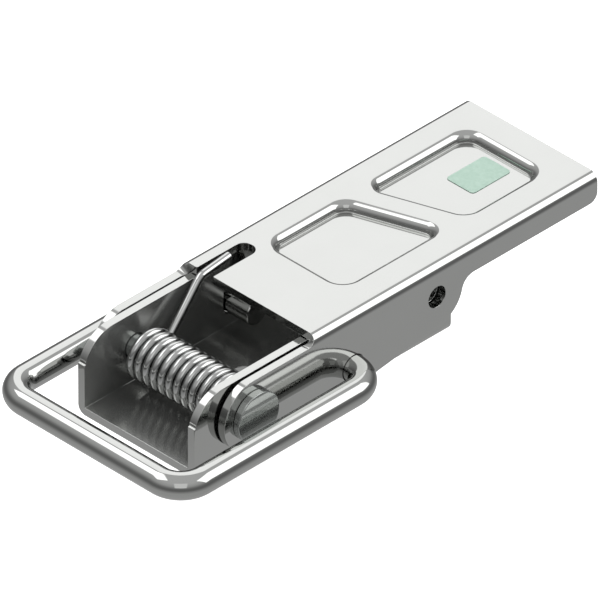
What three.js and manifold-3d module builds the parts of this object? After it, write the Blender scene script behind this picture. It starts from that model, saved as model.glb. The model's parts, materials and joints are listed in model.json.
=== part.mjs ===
// Toggle bolt latch: a sheet-steel base, an over-centre lever pivoting on its ears, and a round-bar bail
// hung in the lever behind the pivot. A torsion spring round the pivot pin holds the lever shut.
//
// Millimetres. +X runs from the bail to the end of the handle, +Y is across the latch and +Z is up.
// The origin is on the base's underside, straight below the pivot pin.

import * as THREE from "three";
import { mergeVertices } from "three/addons/utils/BufferGeometryUtils.js";
import Module from "manifold-3d";

const wasm = await Module();
wasm.setup();

// ---------------------------------------------------------------- driving dimensions

const SHEET = 2.5; // thickness of the base and lever sheet
const GAP = 0.3; // least clearance between two pieces

const PIVOT = { x: 0, z: 13.7 }; // axis of the pivot pin
const BAIL_PIVOT = { x: 38.2, z: 9.8 }; // axis of the bail's ends, below the pivot: over centre
const LOCK = { x: 70.3, z: 17.2, radius: 3.3 }; // hole for a locking pin, through lever and base

const BASE = { front: -19.2, rear: 79.1, half: 22.3, bend: 2.75, corner: 0.7 };
const EAR = { radius: 11.55, centreX: -7.8, cutX: -18.5, ledgeZ: 16.2 }; // round front of the base walls
const MOUNTING = { radius: 4.25, places: [22, 60] }; // screw holes in the base's floor

const LEVER = { end: 132.3, plateFront: 23.85, half: 25.6, top: 27.45, bend: 3.05 };
const FLANGE = { bottom: 18.5, endCorner: 3, frontFillet: 2.8, bossFillet: 4.5 };
const BOSS = { bail: 7, lock: 10 }; // outline radii about the two rear flange holes
const SLOT = { low: 13.8, high: 20, end: 41.9 }; // slot for the spring's upper leg
const POCKET = { depth: 2.8, low: -16.2, high: 16.6, corner: 6, wall: 3 };
const POCKET_FRONT = 43.5; // the two pockets' square ends
const POCKET_REAR = 124.2;
const RIB = { start: 75.62, slope: -0.344, width: 5 }; // slanted rib: X at the pockets' high edge, dX/dY

const BAR = 4; // radius of the bail's round bar
const BAIL = { armY: 33.75, frontX: -35.75, innerY: 11, frontBend: 8, rearBend: 8 };

const PIN = { radius: 3.5, headRadius: 7.7, headThick: 2, hole: 3.75 };
const BAIL_HOLE = BAR + 0.4;
const NOTCH = BAR + 0.45; // half width of the curved notch that the bail's ends swing through

const WIRE = 1.25; // radius of the spring wire
const COIL = { radius: 6.75, turns: 11, pitch: 2.95, startY: -17.1, startAngle: -78 };
const UPPER_LEG = { angle: -46.4, bend: [22.9, 17.7, 26.2], tip: [34, 17.7, 27.5] };
const LOWER_LEG = { length: 14.5 };

const LABEL = { x: 104, y: -5.8, length: 15, width: 10.5, thick: 0.2, corner: 1.2 };

const UNDERSIDE = LEVER.top - SHEET;
const WALL_TOP = UNDERSIDE - GAP; // top of the base walls and of the lever's bare flanges
const NOSE = WALL_TOP - PIVOT.z; // radius of the flanges' round front about the pivot
const ARC_STEPS = 4; // eight facets to an arc
const HOLE_STEPS = 12; // twenty-four facets to a round hole
const THROUGH = 40; // half length of a cutter that passes right through

// ---------------------------------------------------------------- helpers

const rad = THREE.MathUtils.degToRad;

// Closed geometry to a manifold solid and back.
function solidOf(geometry) {
  const bare = geometry.index ? geometry.toNonIndexed() : geometry.clone();
  bare.deleteAttribute("normal");
  bare.deleteAttribute("uv");
  const merged = mergeVertices(bare, 1e-4);
  return new wasm.Manifold(
    new wasm.Mesh({
      numProp: 3,
      vertProperties: merged.attributes.position.array,
      triVerts: new Uint32Array(merged.index.array),
    }),
  );
}

function geometryOf(solid) {
  const mesh = solid.getMesh();
  const geometry = new THREE.BufferGeometry();
  geometry.setAttribute("position", new THREE.BufferAttribute(mesh.vertProperties, 3));
  geometry.setIndex(new THREE.BufferAttribute(mesh.triVerts, 1));
  geometry.computeVertexNormals();
  return geometry;
}

function extrude(shape, depth, curveSegments) {
  return new THREE.ExtrudeGeometry(shape, { depth, bevelEnabled: false, curveSegments });
}

// A plan outline in X and Y, from height low to high.
function alongZ(shape, low, high, steps = ARC_STEPS) {
  return solidOf(extrude(shape, high - low, steps).translate(0, 0, low));
}

// A side outline in X and Z, from low to high in Y.
function alongY(shape, low, high, steps = ARC_STEPS) {
  return solidOf(extrude(shape, high - low, steps).rotateX(Math.PI / 2).translate(0, high, 0));
}

// A cross-section in Y and Z, from low to high in X.
function alongX(shape, low, high) {
  const turn = new THREE.Matrix4().makeBasis(
    new THREE.Vector3(0, 1, 0),
    new THREE.Vector3(0, 0, 1),
    new THREE.Vector3(1, 0, 0),
  );
  return solidOf(extrude(shape, high - low, ARC_STEPS).applyMatrix4(turn).translate(low, 0, 0));
}

function circle(x, y, radius) {
  return new THREE.Shape().absarc(x, y, radius, 0, 2 * Math.PI, false);
}

function rectangle(x1, y1, x2, y2) {
  return new THREE.Shape([[x1, y1], [x2, y1], [x2, y2], [x1, y2]].map(([x, y]) => new THREE.Vector2(x, y)));
}

// A closed polygon, its corners given counter-clockwise, with every corner rounded to the same radius.
// inset moves every edge inwards about the same corner centres.
function roundedPolygon(points, radius, inset = 0) {
  const shape = new THREE.Shape();
  const corners = points.map(([x, y]) => new THREE.Vector2(x, y));
  const normalAngle = (a, b) => Math.atan2(b.y - a.y, b.x - a.x) - Math.PI / 2;
  corners.forEach((corner, i) => {
    const before = corners.at(i - 1);
    const after = corners[(i + 1) % corners.length];
    const toBefore = before.clone().sub(corner).normalize();
    const toAfter = after.clone().sub(corner).normalize();
    const half = toBefore.angleTo(toAfter) / 2;
    const centre = toBefore.add(toAfter).setLength(radius / Math.sin(half)).add(corner);
    const from = normalAngle(before, corner);
    shape.absarc(centre.x, centre.y, radius - inset, from, normalAngle(corner, after), false);
  });
  shape.closePath();
  return shape;
}

// The direction of the outward normal of the line that touches two circles from below.
function lowerTangent(a, radiusA, b, radiusB) {
  const distance = Math.hypot(b.x - a.x, b.z - a.z);
  return Math.atan2(b.z - a.z, b.x - a.x) - Math.acos((radiusA - radiusB) / distance);
}

// A round bar along a path, with flat ends.
function barAlong(path, radius, sides, steps) {
  const corners = Array.from({ length: sides }, (_, i) => {
    const angle = (2 * Math.PI * i) / sides;
    return new THREE.Vector2(radius * Math.cos(angle), radius * Math.sin(angle));
  });
  return new THREE.ExtrudeGeometry(new THREE.Shape(corners), { steps, extrudePath: path, bevelEnabled: false });
}

// A folded channel along X, its web's outside at z = 0 and its two edges up at z = height.
function channel(half, height, bend, from, to) {
  const inner = bend - SHEET;
  const section = new THREE.Shape();
  section.moveTo(-half, height);
  section.absarc(-half + bend, bend, bend, Math.PI, 1.5 * Math.PI, false);
  section.absarc(half - bend, bend, bend, -Math.PI / 2, 0, false);
  section.lineTo(half, height);
  section.lineTo(half - SHEET, height);
  section.absarc(half - bend, bend, inner, 0, -Math.PI / 2, true);
  section.absarc(-half + bend, bend, inner, 1.5 * Math.PI, Math.PI, true);
  section.lineTo(-half + SHEET, height);
  section.closePath();
  return alongX(section, from, to);
}

// ---------------------------------------------------------------- base

function baseSideOutline() {
  const earZ = WALL_TOP - EAR.radius;
  const cut = Math.acos((EAR.cutX - EAR.centreX) / EAR.radius);
  const outline = new THREE.Shape();
  outline.moveTo(BASE.front, 0);
  outline.lineTo(BASE.rear, 0);
  outline.absarc(BASE.rear - BASE.corner, WALL_TOP - BASE.corner, BASE.corner, 0, Math.PI / 2, false);
  outline.absarc(EAR.centreX, earZ, EAR.radius, Math.PI / 2, cut, false);
  outline.lineTo(BASE.front, EAR.ledgeZ);
  outline.closePath();
  return outline;
}

// The curved notch that the bail's ends travel in as the lever swings about the pivot.
function notchOutline() {
  const reach = Math.hypot(BAIL_PIVOT.x - PIVOT.x, BAIL_PIVOT.z - PIVOT.z);
  const low = Math.atan2(BAIL_PIVOT.z - PIVOT.z, BAIL_PIVOT.x - PIVOT.x);
  const high = rad(25); // past the top of the walls
  const outline = new THREE.Shape();
  outline.absarc(PIVOT.x, PIVOT.z, reach - NOTCH, high, low, true);
  outline.absarc(BAIL_PIVOT.x, BAIL_PIVOT.z, NOTCH, low + Math.PI, low + 2 * Math.PI, false);
  outline.absarc(PIVOT.x, PIVOT.z, reach + NOTCH, low, high, false);
  outline.closePath();
  return outline;
}

function makeBase() {
  let base = channel(BASE.half, WALL_TOP + SHEET, BASE.bend, BASE.front, BASE.rear);
  base = base.intersect(alongY(baseSideOutline(), -THROUGH, THROUGH));
  const cuts = [notchOutline(), circle(PIVOT.x, PIVOT.z, PIN.hole), circle(LOCK.x, LOCK.z, LOCK.radius)];
  for (const cut of cuts) base = base.subtract(alongY(cut, -THROUGH, THROUGH, HOLE_STEPS));
  for (const x of MOUNTING.places) {
    const hole = circle(x, 0, MOUNTING.radius);
    base = base.subtract(alongZ(hole, -SHEET, 2 * SHEET, HOLE_STEPS));
  }
  return geometryOf(base);
}

// ---------------------------------------------------------------- lever

function leverSideOutline() {
  const noseToBail = lowerTangent(PIVOT, NOSE, BAIL_PIVOT, BOSS.bail);
  const bailToLock = lowerTangent(BAIL_PIVOT, BOSS.bail, LOCK, BOSS.lock);
  const filletZ = FLANGE.bottom - FLANGE.bossFillet;
  const filletX = LOCK.x + Math.sqrt((BOSS.lock + FLANGE.bossFillet) ** 2 - (LOCK.z - filletZ) ** 2);
  const filletAngle = Math.atan2(filletZ - LOCK.z, filletX - LOCK.x);
  const endX = LEVER.end - FLANGE.endCorner;
  const endZ = FLANGE.bottom + FLANGE.endCorner;
  const frontX = LEVER.plateFront - FLANGE.frontFillet;
  const outline = new THREE.Shape();
  outline.absarc(frontX, LEVER.top, FLANGE.frontFillet, 0, -Math.PI / 2, true);
  outline.absarc(PIVOT.x, PIVOT.z, NOSE, Math.PI / 2, noseToBail, false);
  outline.absarc(BAIL_PIVOT.x, BAIL_PIVOT.z, BOSS.bail, noseToBail, bailToLock, false);
  outline.absarc(LOCK.x, LOCK.z, BOSS.lock, bailToLock, filletAngle, false);
  outline.absarc(filletX, filletZ, FLANGE.bossFillet, filletAngle + Math.PI, Math.PI / 2, true);
  outline.absarc(endX, endZ, FLANGE.endCorner, -Math.PI / 2, 0, false);
  outline.lineTo(LEVER.end, LEVER.top);
  outline.closePath();
  return outline;
}

// The two pressed pockets' top outlines, either side of the slanted rib.
function pocketCorners() {
  const ribAt = (y) => RIB.start + RIB.slope * (y - POCKET.high);
  const { low, high } = POCKET;
  const front = [[POCKET_FRONT, low], [ribAt(low), low], [ribAt(high), high], [POCKET_FRONT, high]];
  const rear = [
    [ribAt(low) + RIB.width, low],
    [POCKET_REAR, low],
    [POCKET_REAR, high],
    [ribAt(high) + RIB.width, high],
  ];
  return [front, rear];
}

function slotOutline() {
  const half = (SLOT.high - SLOT.low) / 2;
  const outline = new THREE.Shape();
  outline.moveTo(BASE.front, SLOT.low);
  outline.absarc(SLOT.end - half, SLOT.low + half, half, -Math.PI / 2, Math.PI / 2, false);
  outline.lineTo(BASE.front, SLOT.high);
  outline.closePath();
  return outline;
}

function makeLever() {
  const blank = channel(LEVER.half, LEVER.top, LEVER.bend, -LEVER.end, LEVER.end);
  let lever = blank.rotate([180, 0, 0]).translate([0, 0, LEVER.top]);
  lever = lever.intersect(alongY(leverSideOutline(), -THROUGH, THROUGH));
  const flangeInside = LEVER.half - LEVER.bend;
  const openFront = rectangle(BASE.front, -flangeInside, LEVER.plateFront, flangeInside);
  lever = lever.subtract(alongZ(openFront, UNDERSIDE - GAP, LEVER.top + GAP));
  for (const corners of pocketCorners()) {
    const floor = LEVER.top - POCKET.depth;
    lever = lever.add(alongZ(roundedPolygon(corners, POCKET.corner), floor - SHEET, UNDERSIDE + GAP));
    const recess = roundedPolygon(corners, POCKET.corner, POCKET.wall / 2);
    lever = lever.subtract(alongZ(recess, floor, LEVER.top + GAP));
  }
  lever = lever.subtract(alongZ(slotOutline(), UNDERSIDE - GAP, LEVER.top + GAP));
  const holes = [
    circle(PIVOT.x, PIVOT.z, PIN.hole),
    circle(BAIL_PIVOT.x, BAIL_PIVOT.z, BAIL_HOLE),
    circle(LOCK.x, LOCK.z, LOCK.radius),
  ];
  for (const hole of holes) lever = lever.subtract(alongY(hole, -THROUGH, THROUGH, HOLE_STEPS));
  return geometryOf(lever);
}

// ---------------------------------------------------------------- bail, pin, spring and label

// One bar bent into a rectangle, open at the back, with its two ends turned in along the bail's pivot.
function makeBail() {
  const QUARTER = 0.5523; // Bezier handle length of a quarter circle of radius 1
  const { armY, frontX, innerY, frontBend, rearBend } = BAIL;
  const z = BAIL_PIVOT.z;
  const point = (x, y) => new THREE.Vector3(x, y, z);
  const ends = [point(BAIL_PIVOT.x, -innerY), point(BAIL_PIVOT.x, innerY)];
  const corners = [
    { at: point(BAIL_PIVOT.x, -armY), bend: rearBend },
    { at: point(frontX, -armY), bend: frontBend },
    { at: point(frontX, armY), bend: frontBend },
    { at: point(BAIL_PIVOT.x, armY), bend: rearBend },
  ];
  const path = new THREE.CurvePath();
  let last = ends[0];
  corners.forEach(({ at, bend }, i) => {
    const next = corners[i + 1] ? corners[i + 1].at : ends[1];
    const entry = last.clone().sub(at).setLength(bend).add(at);
    const exit = next.clone().sub(at).setLength(bend).add(at);
    path.add(new THREE.LineCurve3(last, entry));
    path.add(
      new THREE.CubicBezierCurve3(entry, entry.clone().lerp(at, QUARTER), exit.clone().lerp(at, QUARTER), exit),
    );
    last = exit;
  });
  path.add(new THREE.LineCurve3(last, ends[1]));
  return barAlong(path, BAR, 12, 96);
}

// A plain pin with a flat head outside each lever flange.
function makePin() {
  const inside = LEVER.half + GAP;
  const outside = inside + PIN.headThick;
  const profile = [
    [0, -outside],
    [PIN.headRadius, -outside],
    [PIN.headRadius, -inside],
    [PIN.radius, -inside],
    [PIN.radius, inside],
    [PIN.headRadius, inside],
    [PIN.headRadius, outside],
    [0, outside],
  ].map(([radius, y]) => new THREE.Vector2(radius, y));
  return new THREE.LatheGeometry(profile, 40).translate(PIVOT.x, 0, PIVOT.z);
}

// The coil's turns in a loop, with a straight leg from each end: the lower one forward to the base's floor
// and the upper one back and up to the lever's slot. The coil winds tighter as the lever opens.
function makeSpring() {
  const STEPS_PER_TURN = 12;
  const LEG_STEPS = 4;
  const start = rad(COIL.startAngle);
  const end = rad(UPPER_LEG.angle) + 2 * Math.PI * COIL.turns;
  const onCoil = (angle) =>
    new THREE.Vector3(
      PIVOT.x + COIL.radius * Math.cos(angle),
      COIL.startY + (COIL.pitch * (angle - start)) / (2 * Math.PI),
      PIVOT.z + COIL.radius * Math.sin(angle),
    );
  const root = onCoil(start);
  const forward = new THREE.Vector3(Math.sin(start), 0, -Math.cos(start));
  const tip = root.clone().addScaledVector(forward, LOWER_LEG.length);
  const count = COIL.turns * STEPS_PER_TURN;
  const points = [];
  for (let i = 0; i < LEG_STEPS; i++) points.push(tip.clone().lerp(root, i / LEG_STEPS));
  for (let i = 0; i <= count; i++) points.push(onCoil(start + ((end - start) * i) / count));
  const bend = new THREE.Vector3(...UPPER_LEG.bend);
  for (let i = 1; i <= LEG_STEPS; i++) points.push(onCoil(end).lerp(bend, i / LEG_STEPS));
  points.push(new THREE.Vector3(...UPPER_LEG.tip));
  return barAlong(new THREE.CatmullRomCurve3(points, false, "centripetal"), WIRE, 7, 160);
}

// A plain thin label on the rear pocket's floor.
function makeLabel() {
  const { x, y, length, width, thick, corner } = LABEL;
  const outline = roundedPolygon([[x, y], [x + length, y], [x + length, y + width], [x, y + width]], corner);
  const floor = LEVER.top - POCKET.depth;
  return extrude(outline, thick, 2).translate(0, 0, floor);
}

// ---------------------------------------------------------------- assembly

function material(color, roughness, metalness) {
  return new THREE.MeshStandardMaterial({ color, roughness, metalness });
}

function piece(name, geometry, look) {
  const mesh = new THREE.Mesh(geometry, look);
  mesh.name = name;
  return mesh;
}

const BRIGHT_PLATE = [0xd8dad6, 0.15, 1];
const SPRING_STEEL = [0xb4b6b4, 0.25, 1];

const latch = new THREE.Group();
latch.add(
  piece("base_channel", makeBase(), material(...BRIGHT_PLATE)),
  piece("lever_handle", makeLever(), material(...BRIGHT_PLATE)),
  piece("wire_bail", makeBail(), material(...BRIGHT_PLATE)),
  piece("pivot_pin", makePin(), material(...BRIGHT_PLATE)),
  piece("torsion_spring", makeSpring(), material(...SPRING_STEEL)),
  piece("blank_label", makeLabel(), material(0xcfe3d2, 0.5, 0)),
);

export default latch;
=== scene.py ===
"""Looks of the toggle latch: fine smooth meshes for the folded sheets, the bent bar, the pin, the wound
spring and the blank label, their bright plated materials, and the studio that the plating mirrors.

Outlines are in millimetres, as on a drawing, and become metres when a mesh is made. +X runs from the bail
to the end of the handle, +Y is across the latch and +Z is up.
"""

import json
import math

import bpy
import bmesh
from mathutils import Matrix, Vector
from mathutils.geometry import delaunay_2d_cdt


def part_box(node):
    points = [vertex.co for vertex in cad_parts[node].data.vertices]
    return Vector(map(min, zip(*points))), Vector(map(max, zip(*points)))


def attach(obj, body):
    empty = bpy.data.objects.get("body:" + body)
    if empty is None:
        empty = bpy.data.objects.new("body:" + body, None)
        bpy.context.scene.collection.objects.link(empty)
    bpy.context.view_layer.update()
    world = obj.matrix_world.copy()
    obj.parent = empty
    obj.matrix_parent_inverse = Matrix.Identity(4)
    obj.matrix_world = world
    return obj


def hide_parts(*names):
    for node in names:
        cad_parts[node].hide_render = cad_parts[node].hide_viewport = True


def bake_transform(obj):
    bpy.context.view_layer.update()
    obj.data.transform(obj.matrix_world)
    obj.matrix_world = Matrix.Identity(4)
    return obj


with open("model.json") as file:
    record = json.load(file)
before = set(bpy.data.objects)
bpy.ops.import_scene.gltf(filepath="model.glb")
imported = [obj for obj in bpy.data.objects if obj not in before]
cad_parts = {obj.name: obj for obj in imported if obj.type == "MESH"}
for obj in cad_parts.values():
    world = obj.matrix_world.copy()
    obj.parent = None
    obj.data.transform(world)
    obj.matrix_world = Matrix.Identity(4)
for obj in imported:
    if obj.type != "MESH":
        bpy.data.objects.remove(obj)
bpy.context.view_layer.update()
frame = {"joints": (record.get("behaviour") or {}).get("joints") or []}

MM = 0.001


# ---------------------------------------------------------------- dimensions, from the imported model


def box_mm(node):
    low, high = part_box(node)
    return low / MM, high / MM


def joint_axis(name):
    """(X, Z) of a hinge that runs along Y."""
    joint = next(j for j in frame["joints"] if j["name"] == name)
    return joint["pos_m"][0] / MM, joint["pos_m"][2] / MM


BASE_LOW, BASE_HIGH = box_mm("base_channel")
_, LEVER_HIGH = box_mm("lever_handle")
BAIL_LOW, BAIL_HIGH = box_mm("wire_bail")
PIN_LOW, PIN_HIGH = box_mm("pivot_pin")
LABEL_LOW, LABEL_HIGH = box_mm("blank_label")
PIVOT = joint_axis("lever_pivot")
BAIL_PIVOT = joint_axis("bail_pivot")

SHEET = 2.5
WALL_TOP = BASE_HIGH.z  # top of the base walls and of the lever's bare flanges
BASE_BEND = 2.75  # outer radius of the base's two bends
LEVER_BEND = 3.05
LEVER_INNER_BEND = 2  # under the plate
HOLE = 3.75  # radius of the pin's hole
LOCK_HOLE = (70.3, 17.2)
LOCK_RADIUS = 3.3
BAR = (BAIL_HIGH.z - BAIL_LOW.z) / 2
WIRE = 1.25

EAR_CENTRE = (-7.8, WALL_TOP - 11.55)
EAR_RADIUS = 11.55
LEDGE = (-18.55, 16.35)  # the small step in front of each ear
SCREW_HOLES = (22, 60)
SCREW_RADIUS = 4.25
NOTCH = BAR + 0.45

NOSE = WALL_TOP - PIVOT[1]  # radius of the flanges' round front
PLATE_FRONT = 23.85
FLANGE_BOTTOM = 18.5
BAIL_BOSS = 7
LOCK_BOSS = 10
SLOT = (13.8, 20)  # the two Y of the slot for the spring's upper leg
SLOT_END = 41.9
BAIL_CLEARANCE = 0.15
FILLET = 4.5  # between the lock boss and the handle's flange
END_CORNER = 3

POCKET_DEPTH = LEVER_HIGH.z - LABEL_LOW.z
POCKET_SIDES = (-16.2, 16.6)
POCKET_ENDS = (43.5, 124.2)
POCKET_CORNER = 7.2
POCKET_SHARP_CORNER = 5.6
POCKET_LIP = 2.7  # radius of the round at the top of a pocket's wall
POCKET_FOOT = 0.4
POCKET_STEEP = 78  # the wall's slope in degrees
RIB_START = 75.62  # X at the pockets' +Y side
RIB_SLOPE = -0.344
RIB_WIDTH = 5

PIN_RADIUS = 3.5
PIN_GAP = 0.04  # between the head and the flange
HEAD_EDGE = 0.3

BAIL_END = 11  # Y of the bail's two ends
BAIL_BEND = 8
BAIL_END_ROUND = 0.6

COIL_RADIUS = 6.75
COIL_TURNS = 11
COIL_PITCH = 2.95
COIL_START = (-17.1, -78)  # Y, and the angle about the pin in degrees
UPPER_LEG_ANGLE = -46.4
UPPER_LEG_BEND = (22.9, 17.7, 26.2)
UPPER_LEG_TIP = (34, 17.7, 27.5)
LEG_BEND_REACH = 1.6  # from the corner of the upper leg to where its bend starts
LOWER_LEG = 14.5

EDGE = 0.13  # rounding of the sheets' cut edges
CORNER = 0.28  # rounding of the corners of their outlines


# ---------------------------------------------------------------- outlines


def polar(centre, radius, degrees):
    angle = math.radians(degrees)
    return centre[0] + radius * math.cos(angle), centre[1] + radius * math.sin(angle)


def arc(centre, radius, start, end, step=4):
    """Points from one angle to the other, in degrees, both included."""
    count = max(2, math.ceil(abs(end - start) / step))
    return [polar(centre, radius, start + (end - start) * i / count) for i in range(count + 1)]


def circle(centre, radius, step=5):
    return arc(centre, radius, 0, 360, step)[:-1]


def area(loop):
    return sum(a[0] * b[1] - b[0] * a[1] for a, b in zip(loop, loop[1:] + loop[:1])) / 2


def tidy(loop):
    """The closed loop without repeated points."""
    return [p for p, q in zip(loop, loop[1:] + loop[:1]) if math.dist(p, q) > 1e-4]


def counter_clockwise(loop):
    return loop if area(loop) > 0 else loop[::-1]


def inset(loop, distance):
    """The closed loop moved to its left, which is into the sheet for an outline and for a hole alike."""
    moved = []
    for i, point in enumerate(loop):
        out = left_normal(loop, i)
        moved.append((point[0] + out[0] * distance, point[1] + out[1] * distance))
    return moved


def left_normal(loop, i):
    """The direction to the left of a closed loop at a corner, longer where the corner is sharper."""
    here, before, after = Vector(loop[i]), Vector(loop[i - 1]), Vector(loop[(i + 1) % len(loop)])
    a = (here - before).normalized().orthogonal()
    b = (after - here).normalized().orthogonal()
    middle = (a + b).normalized()
    return middle / max(0.5, middle.dot(a))


def soften(loop, radius, sharpest=25, steps=5):
    """The closed loop with each corner sharper than so many degrees rounded."""
    smooth = []
    for i, point in enumerate(loop):
        here, before, after = Vector(point), Vector(loop[i - 1]), Vector(loop[(i + 1) % len(loop)])
        arriving, leaving = (here - before).normalized(), (after - here).normalized()
        turn = math.atan2(arriving.cross(leaving), arriving.dot(leaving))
        if abs(math.degrees(turn)) < sharpest:
            smooth.append(point)
            continue
        centre = here + (leaving - arriving).normalized() * radius / math.cos(turn / 2)
        spoke = here - arriving * radius * math.tan(abs(turn) / 2) - centre
        for k in range(steps + 1):
            smooth.append(tuple(centre + Matrix.Rotation(turn * k / steps, 2) @ spoke))
    return smooth


def rounded_polygon(corners, shrink=0, step=4):
    """A counter-clockwise polygon of (x, y, radius) corners, shrunk about the same corner centres."""
    loop = []
    for i, (*corner, radius) in enumerate(corners):
        here, before = Vector(corner), Vector(corners[i - 1][:2])
        after = Vector(corners[(i + 1) % len(corners)][:2])
        back, on = (before - here).normalized(), (after - here).normalized()
        half = back.angle(on) / 2
        centre = here + (back + on).normalized() * radius / math.sin(half)
        start = math.degrees(math.atan2(-back.y, -back.x)) - 90
        turn = 180 - math.degrees(2 * half)
        loop += arc(centre, radius - shrink, start, start + turn, step)
    return loop


def lower_tangent(a, radius_a, b, radius_b):
    """The angle at which the line under two circles touches them."""
    across = math.atan2(b[1] - a[1], b[0] - a[0])
    return math.degrees(across - math.acos((radius_a - radius_b) / math.dist(a, b)))


# ---------------------------------------------------------------- meshes


class Surface:
    """Vertices with their true normals, and faces, which become one smooth closed mesh."""

    def __init__(self):
        self.points = []
        self.normals = []
        self.faces = []
        self.inner_faces = []  # those painted darker as shade, mostly the side of a folded sheet that faces into the fold

    def add(self, point, normal):
        self.points.append(tuple(point))
        self.normals.append(tuple(Vector(normal).normalized()))
        return len(self.points) - 1

    def ring(self, points, normals):
        return [self.add(p, n) for p, n in zip(points, normals)]

    def bridge(self, upper, lower, inner=False):
        """Quads between two closed rings, facing right of the way round when upper is on top."""
        faces = self.inner_faces if inner else self.faces
        for i in range(len(upper)):
            j = (i + 1) % len(upper)
            faces.append((upper[i], lower[i], lower[j], upper[j]))

    def object(self, name):
        mesh = bpy.data.meshes.new(name)
        mesh.from_pydata([Vector(p) * MM for p in self.points], [], self.faces + self.inner_faces)
        slots = [0] * len(self.faces) + [1] * len(self.inner_faces)
        mesh.polygons.foreach_set("material_index", slots)
        mesh.validate()
        mesh.shade_smooth()
        mesh.normals_split_custom_set_from_vertices(self.normals)
        obj = bpy.data.objects.new(name, mesh)
        bpy.context.scene.collection.objects.link(obj)
        return obj


def encloses(loop, point):
    """Whether a closed loop goes round a point."""
    x, y = point
    crossings = 0
    for (ax, ay), (bx, by) in zip(loop, loop[1:] + loop[:1]):
        if (ay > y) != (by > y) and x < ax + (bx - ax) * (y - ay) / (by - ay):
            crossings += 1
    return crossings % 2 == 1


def fill(loops):
    """Triangles over the region between closed 2D loops, as indices into the loops' points in turn."""
    points, edges = [], []
    for loop in loops:
        first = len(points)
        points += [Vector(p) for p in loop]
        edges += [(first + i, first + (i + 1) % len(loop)) for i in range(len(loop))]
    coords, _, triangles, origins, _, _ = delaunay_2d_cdt(points, edges, [], 1, 1e-6)
    found = []
    for triangle in triangles:
        a, b, c = (coords[i] for i in triangle)
        if sum(encloses(loop, (a + b + c) / 3) for loop in loops) % 2 == 0:
            continue
        if (b - a).cross(c - a) < 0:
            triangle = triangle[::-1]
        found.append(tuple(origins[i][0] for i in triangle))
    return found


def edge_profile(thickness, radius, steps=4):
    """(inset, depth, angle of the normal) round a cut edge, from the outer face to the inner one."""
    top = []
    for i in range(steps + 1):
        angle = math.pi / 2 * i / steps
        top.append((radius * (1 - math.sin(angle)), radius * (1 - math.cos(angle)), angle))
    return top + [(shift, thickness - depth, math.pi - angle) for shift, depth, angle in reversed(top)]


def pressed_wall(depth, lip, foot, steep, steps=9):
    """(inset, drop, slope) down a pressed pocket's wall: a wide round lip and a tight round foot."""
    profile = []
    for i in range(steps + 1):
        angle = math.radians(steep) * i / steps
        profile.append((lip * math.sin(angle), lip * (1 - math.cos(angle)), angle))
    last_inset, last_drop, _ = profile[-1]
    foot_drop = foot * (1 - math.cos(math.radians(steep)))
    straight = depth - last_drop - foot_drop
    across = straight / math.tan(math.radians(steep))
    for i in range(steps + 1):
        angle = math.radians(steep) * (1 - i / steps)
        run = foot * (math.sin(math.radians(steep)) - math.sin(angle))
        rise = foot * (math.cos(angle) - math.cos(math.radians(steep)))
        profile.append((last_inset + across + run, last_drop + straight + rise, angle))
    return profile


def flat_sheet(outline, holes, thickness, edge, pockets=()):
    """A flat sheet as a Surface in (X, across, height), its outer face at height 0.

    Each pocket is a list of (loop, drop, slope) from its lip to its floor, its steepest in the middle. From
    there down its wall is painted darker as shade, and is duller.
    """
    surface = Surface()
    loops = [counter_clockwise(tidy(outline))] + [counter_clockwise(tidy(h))[::-1] for h in holes]
    profile = edge_profile(thickness, edge)
    rings = []
    for loop in loops:
        lefts = [left_normal(loop, i) for i in range(len(loop))]
        rows = []
        for shift, depth, angle in profile:
            points = [(x, y, -depth) for x, y in inset(loop, shift)]
            side, up = math.sin(angle), math.cos(angle)
            normals = [(*(-left.normalized() * side), up) for left in lefts]
            rows.append(surface.ring(points, normals))
        for upper, lower in zip(rows, rows[1:]):
            surface.bridge(upper, lower)
        rings.append(rows)
    for face, sign in ((0, 1), (-1, -1)):
        level = 0 if sign > 0 else -thickness
        edges = [rows[face] for rows in rings]
        for pocket in pockets:
            wells = []
            for loop, drop, slope in pocket:
                lefts = [left_normal(loop, i).normalized() for i in range(len(loop))]
                normals = [(*(left * sign * math.sin(slope)), sign * math.cos(slope)) for left in lefts]
                wells.append(surface.ring([(x, y, level - drop) for x, y in loop], normals))
            steepest = len(wells) // 2 - 1
            for step, (upper, lower) in enumerate(zip(wells, wells[1:])):
                if sign > 0:
                    surface.bridge(lower, upper, inner=step >= steepest)
                else:
                    surface.bridge(upper, lower, inner=True)
            edges.append(wells[0])
            cover(surface, [wells[-1]], sign)
        cover(surface, edges, sign)
    return surface


def cover(surface, rings, sign):
    """Fills the flat region between rings, facing up or down."""
    flat = [index for ring in rings for index in ring]
    loops = [[surface.points[index][:2] for index in ring] for ring in rings]
    for triangle in fill(loops):
        corners = [flat[i] for i in triangle]
        if sign > 0:
            surface.faces.append(tuple(corners))
        else:
            surface.inner_faces.append(tuple(corners[::-1]))


def steps_between(start, end, count):
    return [start + (end - start) * i / count for i in range(count + 1)]


def bent(across, start, end, radius, corner):
    """(across, drop, angle) of a point of a bent line, flat up to start and turned square by end."""
    angle = min(max((across - start) / (end - start), 0), 1) * math.pi / 2
    over = min(across, start) + radius * math.sin(angle)
    drop = corner + radius * (1 - math.cos(angle)) + max(across - end, 0)
    return over, drop, angle


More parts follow.
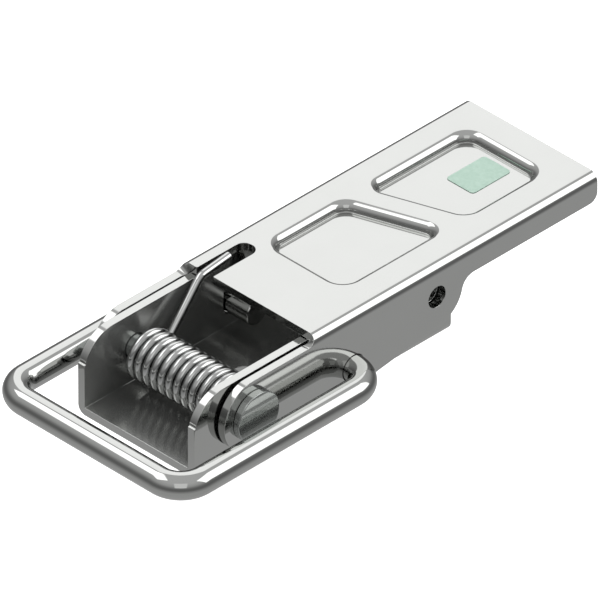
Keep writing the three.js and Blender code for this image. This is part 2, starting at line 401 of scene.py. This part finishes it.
def fold(surface, name, half, bend, top, up, inner_bend=None, web_start=(0, 1)):
    """Bends a flat sheet's two sides towards the inside, round the X axis, and makes the mesh.

    half is the folded width over 2, bend the outer radius and top the web's outer height. up is 1 for a
    sheet with its outer face up and -1 for one with its outer face down. The inner radius follows from the
    sheet's thickness, but grows to inner_bend over the two X of web_start, where the web begins.
    """
    mesh = bmesh.new()
    layer = mesh.verts.layers.float_vector.new("flat_normal")
    verts = []
    for point, normal in zip(surface.points, surface.normals):
        vert = mesh.verts.new(point)
        vert[layer] = normal
        verts.append(vert)
    for slot, faces in enumerate((surface.faces, surface.inner_faces)):
        for face in faces:
            mesh.faces.new([verts[i] for i in face]).material_index = slot
    tight = bend - SHEET
    wide = inner_bend or tight
    outer = (half - bend, half - bend + bend * math.pi / 2)
    inner = (half - SHEET - wide, outer[1] + wide - tight)
    for line in steps_between(*outer, 10) + (steps_between(*inner, 10) if inner_bend else []):
        for at in (-line, line):
            everything = mesh.verts[:] + mesh.edges[:] + mesh.faces[:]
            # A point this near the line counts as on it, so that no sliver is cut off.
            bmesh.ops.bisect_plane(mesh, geom=everything, dist=0.004, plane_co=(0, at, 0), plane_no=(0, 1, 0))
    folded = Surface()
    mesh.verts.index_update()
    for vert in mesh.verts:
        x, across, height = vert.co
        side = math.copysign(1, across)
        deep = -height / SHEET
        outside = Vector(bent(abs(across), *outer, bend, 0))
        inside = Vector(bent(abs(across), *outer, tight, SHEET))
        share = min(max((x - web_start[0]) / (web_start[1] - web_start[0]), 0), 1)
        if share > 0:
            inside = inside.lerp(Vector(bent(abs(across), *inner, wide, SHEET)), share)
        y, drop, angle = outside + (inside - outside) * deep
        angle *= side
        n = vert[layer]
        normal_y = n.y * math.cos(angle) + n.z * math.sin(angle)
        normal_z = n.z * math.cos(angle) - n.y * math.sin(angle)
        folded.add((x, y * side, top - up * drop), (n.x, normal_y, up * normal_z))
    for face in mesh.faces:
        corners = [v.index for v in face.verts]
        kept = folded.inner_faces if face.material_index else folded.faces
        kept.append(tuple(corners if up > 0 else corners[::-1]))
    mesh.free()
    return folded.object(name)


def sweep(name, path, radius, sides, end_round):
    """A round bar along a path of 3D points, its two ends flat with a small rounding."""
    surface = Surface()
    path = [Vector(p) for p in path]
    tangents = []
    for i in range(len(path)):
        ahead, behind = path[min(i + 1, len(path) - 1)], path[max(i - 1, 0)]
        tangents.append((ahead - behind).normalized())
    side = tangents[0].orthogonal().normalized()
    stations = []
    for i, (point, tangent) in enumerate(zip(path, tangents)):
        if i:
            side = tangents[i - 1].rotation_difference(tangent) @ side
        side = (side - tangent * side.dot(tangent)).normalized()
        stations.append((point, tangent, side))
    rounding = [(math.pi / 2 * i / 4) for i in range(5)]
    rows = []

    def ring(station, shift, shrink, tilt):
        point, tangent, side = station
        other = tangent.cross(side)
        points, normals = [], []
        for k in range(sides):
            angle = 2 * math.pi * k / sides
            out = side * math.cos(angle) + other * math.sin(angle)
            points.append(point + tangent * shift + out * (radius - shrink))
            normals.append(out * math.cos(tilt) + tangent * math.sin(tilt))
        rows.append(surface.ring(points, normals))

    for angle in reversed(rounding[1:]):
        ring(stations[0], end_round * (1 - math.sin(angle)), end_round * (1 - math.cos(angle)), -angle)
    first = next(i for i, p in enumerate(path) if (p - path[0]).length > end_round)
    last = next(i for i in reversed(range(len(path))) if (path[i] - path[-1]).length > end_round)
    ring(stations[0], end_round, 0, 0)
    for station in stations[first : last + 1]:
        ring(station, 0, 0, 0)
    ring(stations[-1], -end_round, 0, 0)
    for angle in rounding[1:]:
        ring(stations[-1], -end_round * (1 - math.sin(angle)), end_round * (1 - math.cos(angle)), angle)
    for behind, ahead in zip(rows, rows[1:]):
        surface.bridge(ahead, behind)
    surface.faces.append(tuple(reversed(rows[0])))
    surface.faces.append(tuple(rows[-1]))
    return surface.object(name)


def lathe(name, profile, centre, sides=96):
    """A turned piece about an axis along Y. The profile is (radius, Y, angle of the normal), from low Y.

    The normal's angle is 0 outwards and 90 along +Y.
    """
    surface = Surface()
    rows = []
    for radius, y, tilt in profile:
        outwards, sideways = polar((0, 0), 1, tilt)
        points, normals = [], []
        for k in range(sides):
            angle = 2 * math.pi * k / sides
            out = Vector((math.cos(angle), 0, math.sin(angle)))
            points.append(Vector((centre[0], y, centre[1])) + out * radius)
            normals.append(out * outwards + Vector((0, sideways, 0)))
        rows.append(surface.ring(points, normals))
    for low, high in zip(rows, rows[1:]):
        surface.bridge(low, high)
    surface.faces.append(tuple(rows[0]))
    surface.faces.append(tuple(reversed(rows[-1])))
    return surface.object(name)


# ---------------------------------------------------------------- base and lever


def unrolled(points, half, bend, top):
    """Side-view points (X, height below the web's outer face) as (X, distance across the flat sheet)."""
    web = half - bend
    flat = []
    for x, z in points:
        below = max(top - z, 0)
        if below < bend:
            across = web + bend * math.acos(1 - below / bend)
        else:
            across = web + bend * math.pi / 2 + below - bend
        flat.append((x, across))
    return flat


def mirrored(points):
    return [(x, -y) for x, y in reversed(points)]


def both_sides(loops, unroll):
    sides = [unroll(loop) for loop in loops]
    return sides + [mirrored(side) for side in sides]


def base_piece():
    def unroll(points):
        # The base is the same fold upside down, so its heights are counted from the floor.
        return unrolled([(x, -z) for x, z in points], BASE_HIGH.y, BASE_BEND, 0)

    reach = math.dist(PIVOT, BAIL_PIVOT)
    at = math.degrees(math.atan2(BAIL_PIVOT[1] - PIVOT[1], BAIL_PIVOT[0] - PIVOT[0]))
    rise = WALL_TOP - PIVOT[1]
    inner_top = math.degrees(math.asin(rise / (reach - NOTCH)))
    outer_top = math.degrees(math.asin(rise / (reach + NOTCH)))
    notch = arc(PIVOT, reach - NOTCH, inner_top, at)
    notch += arc(BAIL_PIVOT, NOTCH, at + 180, at + 360)[1:-1]
    notch += arc(PIVOT, reach + NOTCH, at, outer_top)
    ear_end = math.degrees(math.acos((LEDGE[0] - EAR_CENTRE[0]) / EAR_RADIUS))
    wall = [(BASE_LOW.x, 0), (BASE_LOW.x, LEDGE[1]), LEDGE]
    wall += arc(EAR_CENTRE, EAR_RADIUS, ear_end, 90)
    wall += notch
    wall += [(BASE_HIGH.x, WALL_TOP), (BASE_HIGH.x, 0)]
    side = unroll(wall)
    outline = counter_clockwise(tidy(side + mirrored(side)))
    holes = both_sides([circle(PIVOT, HOLE), circle(LOCK_HOLE, LOCK_RADIUS)], unroll)
    holes += [circle((x, 0), SCREW_RADIUS) for x in SCREW_HOLES]
    sheet = flat_sheet(soften(outline, CORNER), holes, SHEET, EDGE)
    return fold(sheet, "folded_base", BASE_HIGH.y, BASE_BEND, 0, -1)


def lever_side():
    """The flange's side outline, from the plate's front edge round the nose to the handle's end."""
    nose_to_bail = lower_tangent(PIVOT, NOSE, BAIL_PIVOT, BAIL_BOSS)
    bail_to_lock = lower_tangent(BAIL_PIVOT, BAIL_BOSS, LOCK_HOLE, LOCK_BOSS)
    fillet_z = FLANGE_BOTTOM - FILLET
    fillet_x = LOCK_HOLE[0] + math.sqrt((LOCK_BOSS + FILLET) ** 2 - (LOCK_HOLE[1] - fillet_z) ** 2)
    fillet_angle = math.degrees(math.atan2(fillet_z - LOCK_HOLE[1], fillet_x - LOCK_HOLE[0]))
    front = LEVER_HIGH.z - WALL_TOP
    side = arc((PLATE_FRONT - front, LEVER_HIGH.z), front, 0, -90)
    side += arc(PIVOT, NOSE, 90, 360 + nose_to_bail)
    side += arc(BAIL_PIVOT, BAIL_BOSS, nose_to_bail, bail_to_lock)
    side += arc(LOCK_HOLE, LOCK_BOSS, bail_to_lock, fillet_angle)
    side += arc((fillet_x, fillet_z), FILLET, fillet_angle + 180, 90)
    side += arc((LEVER_HIGH.x - END_CORNER, FLANGE_BOTTOM + END_CORNER), END_CORNER, -90, 0)
    side.append((LEVER_HIGH.x, LEVER_HIGH.z))
    return side


def pocket_corners():
    low, high = POCKET_SIDES

    def rib(y):
        return RIB_START + RIB_SLOPE * (y - high)

    front_x, rear_x = POCKET_ENDS
    wide, sharp = POCKET_CORNER, POCKET_SHARP_CORNER
    front = [(front_x, low, wide), (rib(low), low, sharp), (rib(high), high, wide), (front_x, high, wide)]
    rear = [(rib(low) + RIB_WIDTH, low, wide), (rear_x, low, wide), (rear_x, high, wide)]
    rear.append((rib(high) + RIB_WIDTH, high, sharp))
    return front, rear


def lever_piece():
    def unroll(points):
        return unrolled(points, LEVER_HIGH.y, LEVER_BEND, LEVER_HIGH.z)

    side = unroll(lever_side())
    slot_middle = sum(SLOT) / 2
    slot_half = (SLOT[1] - SLOT[0]) / 2
    slot = [(PLATE_FRONT, SLOT[0])]
    slot += arc((SLOT_END - slot_half, slot_middle), slot_half, -90, 90)
    slot.append((PLATE_FRONT, SLOT[1]))
    outline = counter_clockwise(tidy(mirrored(side) + slot + side))
    centres = [circle(PIVOT, HOLE), circle(BAIL_PIVOT, BAR + BAIL_CLEARANCE), circle(LOCK_HOLE, LOCK_RADIUS)]
    holes = both_sides(centres, unroll)
    wall = pressed_wall(POCKET_DEPTH, POCKET_LIP, POCKET_FOOT, POCKET_STEEP)
    pockets = []
    for corners in pocket_corners():
        loops = [(rounded_polygon(corners, shift), drop, slope) for shift, drop, slope in wall]
        pockets.append(loops)
    sheet = flat_sheet(soften(outline, CORNER), holes, SHEET, EDGE, pockets)
    web_start = (PLATE_FRONT - (LEVER_HIGH.z - WALL_TOP), PLATE_FRONT)
    return fold(sheet, "folded_lever", LEVER_HIGH.y, LEVER_BEND, LEVER_HIGH.z, 1, LEVER_INNER_BEND, web_start)


# ---------------------------------------------------------------- bail, pin, spring and label


def bail_piece():
    """The bail's line runs from one inturned end round the loop to the other, with stations between bends."""
    arm = BAIL_HIGH.y - BAR
    front = BAIL_LOW.x + BAR
    rear = BAIL_PIVOT[0]
    bend = BAIL_BEND
    path = [(rear, -y) for y in (BAIL_END, 15, 20)]
    path += arc((rear - bend, -arm + bend), bend, 0, -90, 3)
    path += [(x, -arm) for x in (15, 0, -14)]
    path += arc((front + bend, -arm + bend), bend, -90, -180, 3)
    path += [(front, y) for y in (-12, 0, 12)]
    path += arc((front + bend, arm - bend), bend, 180, 90, 3)
    path += [(x, arm) for x in (-14, 0, 15)]
    path += arc((rear - bend, arm - bend), bend, 90, 0, 3)
    path += [(rear, y) for y in (20, 15, BAIL_END)]
    line = [(x, y, BAIL_PIVOT[1]) for x, y in path]
    return sweep("bent_bail", line, BAR, sides=64, end_round=BAIL_END_ROUND)


def pin_piece():
    outside = PIN_HIGH.y
    head = (PIN_HIGH.x - PIN_LOW.x) / 2
    inside = LEVER_HIGH.y + PIN_GAP

    def corner(radius, y, start, end):
        turns = [start + (end - start) * i / 4 for i in range(5)]
        return [(*polar((radius, y), HEAD_EDGE, turn), turn) for turn in turns]

    # The corner under the head is sharp, so it has a ring on each side, a hair apart.
    top = [(PIN_RADIUS, 0, 0), (PIN_RADIUS, inside - 0.01, 0), (PIN_RADIUS, inside, -90)]
    top += corner(head - HEAD_EDGE, inside + HEAD_EDGE, -90, 0)
    top += corner(head - HEAD_EDGE, outside - HEAD_EDGE, 0, 90)
    top.append((0.5, outside, 90))
    bottom = [(radius, -y, -tilt) for radius, y, tilt in reversed(top[1:])]
    return lathe("turned_pin", bottom + top, PIVOT)


def spring_path():
    """The wire's line: the lower leg, the coil, a straight run, a bend and the leg that lies in the slot."""
    start = math.radians(COIL_START[1])
    end = math.radians(UPPER_LEG_ANGLE) + 2 * math.pi * COIL_TURNS

    def on_coil(angle):
        x, z = polar(PIVOT, COIL_RADIUS, math.degrees(angle))
        return Vector((x, COIL_START[0] + COIL_PITCH * (angle - start) / (2 * math.pi), z))

    root = on_coil(start)
    forward = Vector((math.sin(start), 0, -math.cos(start)))
    path = [root + forward * LOWER_LEG * (1 - i / 8) for i in range(8)]
    count = COIL_TURNS * 60
    path += [on_coil(start + (end - start) * i / count) for i in range(count + 1)]
    coil_end, bend, tip = path[-1], Vector(UPPER_LEG_BEND), Vector(UPPER_LEG_TIP)
    up, along = (bend - coil_end).normalized(), (tip - bend).normalized()
    turn_in, turn_out = bend - up * LEG_BEND_REACH, bend + along * LEG_BEND_REACH
    path += [coil_end.lerp(turn_in, i / 6) for i in range(1, 6)]
    for i in range(9):
        t = i / 8
        path.append(turn_in * (1 - t) ** 2 + bend * 2 * t * (1 - t) + turn_out * t**2)
    path += [turn_out.lerp(tip, i / 4) for i in range(1, 5)]
    return path


def label_piece():
    low, high = LABEL_LOW, LABEL_HIGH
    corners = [(x, y, 1.2) for x, y in ((low.x, low.y), (high.x, low.y), (high.x, high.y), (low.x, high.y))]
    thickness = high.z - low.z
    sheet = flat_sheet(rounded_polygon(corners), [], thickness, thickness * 0.4)
    sheet.points = [(x, y, z + high.z) for x, y, z in sheet.points]
    sheet.faces += sheet.inner_faces
    sheet.inner_faces = []
    return sheet.object("label_film")


# ---------------------------------------------------------------- materials


def new_material(name, colour, roughness, metallic):
    material = bpy.data.materials.new(name)
    material.use_nodes = True
    shader = material.node_tree.nodes["Principled BSDF"]
    shader.inputs["Base Color"].default_value = (*colour, 1)
    shader.inputs["Roughness"].default_value = roughness
    shader.inputs["Metallic"].default_value = metallic
    return material, material.node_tree, shader


def noise(tree, scale, stretch=(1, 1, 1), detail=3.0):
    """Noise in object space, its scale in features to the metre and its stretch along each axis."""
    place = tree.nodes.new("ShaderNodeTexCoord")
    mapping = tree.nodes.new("ShaderNodeMapping")
    mapping.inputs["Scale"].default_value = stretch
    texture = tree.nodes.new("ShaderNodeTexNoise")
    texture.inputs["Scale"].default_value = scale
    texture.inputs["Detail"].default_value = detail
    tree.links.new(place.outputs["Object"], mapping.inputs["Vector"])
    tree.links.new(mapping.outputs["Vector"], texture.inputs["Vector"])
    return texture.outputs["Fac"]


def ranged(tree, value, low, high, start=0.3, end=0.7):
    node = tree.nodes.new("ShaderNodeMapRange")
    node.inputs["From Min"].default_value = start
    node.inputs["From Max"].default_value = end
    node.inputs["To Min"].default_value = low
    node.inputs["To Max"].default_value = high
    tree.links.new(value, node.inputs["Value"])
    return node.outputs["Result"]


def blend_colour(tree, factor, a, b):
    node = tree.nodes.new("ShaderNodeMix")
    node.data_type = "RGBA"
    node.inputs["A"].default_value = (*a, 1)
    node.inputs["B"].default_value = (*b, 1)
    tree.links.new(factor, node.inputs["Factor"])
    return node.outputs["Result"]


def bump(tree, height, strength, distance):
    node = tree.nodes.new("ShaderNodeBump")
    node.inputs["Strength"].default_value = strength
    node.inputs["Distance"].default_value = distance
    tree.links.new(height, node.inputs["Height"])
    return node.outputs["Normal"]


def plated(name, light, dull, roughness, grain, scratch_strength, metallic=1):
    """Bright plating: cloudy colour, roughness that varies, and the fine lines of the drawn steel."""
    material, tree, shader = new_material(name, light, roughness[0], metallic)
    clouds = noise(tree, 90)
    tree.links.new(blend_colour(tree, ranged(tree, clouds, 0, 1), light, dull), shader.inputs["Base Color"])
    tree.links.new(ranged(tree, noise(tree, 260, grain), *roughness), shader.inputs["Roughness"])
    lines = noise(tree, 1500, grain, detail=2)
    tree.links.new(bump(tree, lines, scratch_strength, 0.00002), shader.inputs["Normal"])
    return material


def label_material():
    pale, deep = (0.44, 0.60, 0.51), (0.39, 0.55, 0.46)
    material, tree, shader = new_material("label_film", pale, 0.45, 0)
    fibres = noise(tree, 900, detail=5)
    tree.links.new(blend_colour(tree, ranged(tree, fibres, 0, 1), pale, deep), shader.inputs["Base Color"])
    tree.links.new(ranged(tree, fibres, 0.38, 0.55), shader.inputs["Roughness"])
    tree.links.new(bump(tree, fibres, 0.15, 0.00003), shader.inputs["Normal"])
    return material


# ---------------------------------------------------------------- studio

# Soft boxes round the latch: azimuth from +X and elevation of the middle, half width and half height as
# tangents, and brightness.
PANELS = (
    (-47, 36, 0.41, 0.36, 2.7),
    (122, 57, 0.42, 0.23, 2.7),
    (43, 37, 0.29, 0.37, 1.78),
    (-135, 33, 0.26, 0.32, 1.1),
)
# What lies between them, as elevation and brightness.
SHELL = (
    (-90, 0.57),
    (-35, 0.54),
    (-28, 0.46),
    (-20, 0.36),
    (-14, 0.25),
    (-5, 0.2),
    (4, 0.23),
    (12, 0.34),
    (20, 0.5),
    (28, 0.61),
    (35, 0.655),
    (45, 0.735),
    (90, 0.76),
)


def studio_world():
    world = bpy.data.worlds.new("studio")
    bpy.context.scene.world = world
    world.use_nodes = True
    tree = world.node_tree
    nodes, links = tree.nodes, tree.links
    background = nodes["Background"]
    direction = nodes.new("ShaderNodeTexCoord").outputs["Generated"]

    def math_node(operation, *values):
        node = nodes.new("ShaderNodeMath")
        node.operation = operation
        for socket, value in zip(node.inputs, values):
            if isinstance(value, (int, float)):
                socket.default_value = value
            else:
                links.new(value, socket)
        return node.outputs["Value"]

    def along(axis):
        node = nodes.new("ShaderNodeVectorMath")
        node.operation = "DOT_PRODUCT"
        links.new(direction, node.inputs[0])
        node.inputs[1].default_value = axis
        return node.outputs["Value"]

    def within(value, limit):
        """1 inside the limit and 0 outside, with a soft edge."""
        node = nodes.new("ShaderNodeMapRange")
        node.interpolation_type = "SMOOTHSTEP"
        node.inputs["From Min"].default_value = limit + 0.03
        node.inputs["From Max"].default_value = limit - 0.03
        links.new(math_node("ABSOLUTE", value), node.inputs["Value"])
        return node.outputs["Result"]

    ramp = nodes.new("ShaderNodeValToRGB")
    stops = ramp.color_ramp.elements
    while len(stops) < len(SHELL):
        stops.new(0.5)
    for stop, (elevation, grey) in zip(stops, SHELL):
        stop.position = (math.sin(math.radians(elevation)) + 1) / 2
        stop.color = (grey, grey, grey, 1)
    links.new(math_node("MULTIPLY_ADD", along((0, 0, 1)), 0.5, 0.5), ramp.inputs["Fac"])
    light = math_node("ADD", ramp.outputs["Color"], 0)
    for azimuth, elevation, half_width, half_height, brightness in PANELS:
        turn = Matrix.Rotation(math.radians(azimuth), 3, "Z")
        turn = turn @ Matrix.Rotation(math.radians(-elevation), 3, "Y")
        ahead = along(turn @ Vector((1, 0, 0)))
        safe = math_node("MAXIMUM", ahead, 1e-3)
        sideways = math_node("DIVIDE", along(turn @ Vector((0, 1, 0))), safe)
        upwards = math_node("DIVIDE", along(turn @ Vector((0, 0, 1))), safe)
        shape = math_node("MULTIPLY", within(sideways, half_width), within(upwards, half_height))
        shape = math_node("MULTIPLY", shape, math_node("GREATER_THAN", ahead, 0))
        more = math_node("MULTIPLY", shape, math_node("SUBTRACT", brightness, light))
        light = math_node("ADD", light, more)
    camera_ray = nodes.new("ShaderNodeLightPath").outputs["Is Camera Ray"]
    seen = math_node("MULTIPLY", camera_ray, math_node("SUBTRACT", 1.0, light))
    links.new(math_node("ADD", light, seen), background.inputs["Color"])
    background.inputs["Strength"].default_value = 1.0


def floor():
    """A pale floor, below the reach of the bail when the latch is open. The plating mirrors the studio."""
    size = 3.0
    depth = -0.032
    mesh = bpy.data.meshes.new("floor")
    corners = [(-size, -size, depth), (size, -size, depth), (size, size, depth), (-size, size, depth)]
    mesh.from_pydata(corners, [], [(0, 1, 2, 3)])
    plane = bpy.data.objects.new("floor", mesh)
    bpy.context.scene.collection.objects.link(plane)
    material, tree, shader = new_material("pale_floor", (0.9, 0.9, 0.9), 0.9, 0)
    shader.inputs["Emission Color"].default_value = (1, 1, 1, 1)
    shader.inputs["Emission Strength"].default_value = 0.75
    mesh.materials.append(material)
    plane.visible_glossy = False


def camera():
    """A very long lens for the parallel view, from in front of the bail and to the left of the latch."""
    data = bpy.data.cameras.new("camera")
    data.sensor_width = 36
    data.lens = 1700
    data.clip_end = 20
    view = bpy.data.objects.new("camera", data)
    bpy.context.scene.collection.objects.link(view)
    bpy.context.scene.camera = view
    width = 162.48 * MM
    ahead = Vector((1, 1, -1)).normalized()
    aim = Vector((43.09, -0.27, 17.12)) * MM
    view.location = aim - ahead * width * data.lens / data.sensor_width
    view.rotation_mode = "QUATERNION"
    view.rotation_quaternion = ahead.to_track_quat("-Z", "Y")


# ---------------------------------------------------------------- assembly


def fit_out(piece, body, node, slot, *materials):
    for material in materials:
        piece.data.materials.append(material)
    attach(piece, body)
    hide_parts(node)


camera()
studio_world()
floor()
bpy.context.scene.view_settings.view_transform = "Standard"

along_x = (0.06, 1, 1)
along_y = (1, 0.06, 1)
sheet_steel = plated("plated_sheet", (0.455, 0.46, 0.45), (0.447, 0.452, 0.442), (0.05, 0.09), along_x, 0.05)
# Painted shade: the inner faces, inside the folds and down the pockets' walls, get a darker colour that
# stands in for the shade falling there, and a rougher, less metallic finish.
painted_shade_grey, painted_deep_shade_grey = (0.36, 0.365, 0.355), (0.32, 0.325, 0.315)
painted_shade_material = plated("painted_shade_sheet", painted_shade_grey, painted_deep_shade_grey, (0.14, 0.20), along_x, 0.05, 0.78)
bar_steel = plated("plated_bar", (0.45, 0.455, 0.445), (0.43, 0.435, 0.425), (0.04, 0.08), along_x, 0.04)
# Painted shade: the pin's darker, less metallic colour stands in for the shade between the bail's arm and the
# lever's flange.
pin_painted_shade = plated("pin_painted_shade", (0.33, 0.345, 0.335), (0.315, 0.33, 0.32), (0.06, 0.08), along_y, 0.015, 0.8)
wire_steel = plated("spring_wire", (0.50, 0.505, 0.50), (0.44, 0.445, 0.44), (0.03, 0.07), along_y, 0.08)

fit_out(base_piece(), "base", "base_channel", "plated_sheet", sheet_steel, painted_shade_material)
fit_out(lever_piece(), "lever", "lever_handle", "plated_sheet", sheet_steel, painted_shade_material)
fit_out(bail_piece(), "bail", "wire_bail", "plated_bar", bar_steel)
fit_out(pin_piece(), "base", "pivot_pin", "plated_bar", pin_painted_shade)
fit_out(label_piece(), "lever", "blank_label", "label_film", label_material())

spring = sweep("wound_spring", spring_path(), WIRE, sides=20, end_round=0.25)
spring.data.materials.append(wire_steel)
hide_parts("torsion_spring")
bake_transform(spring)
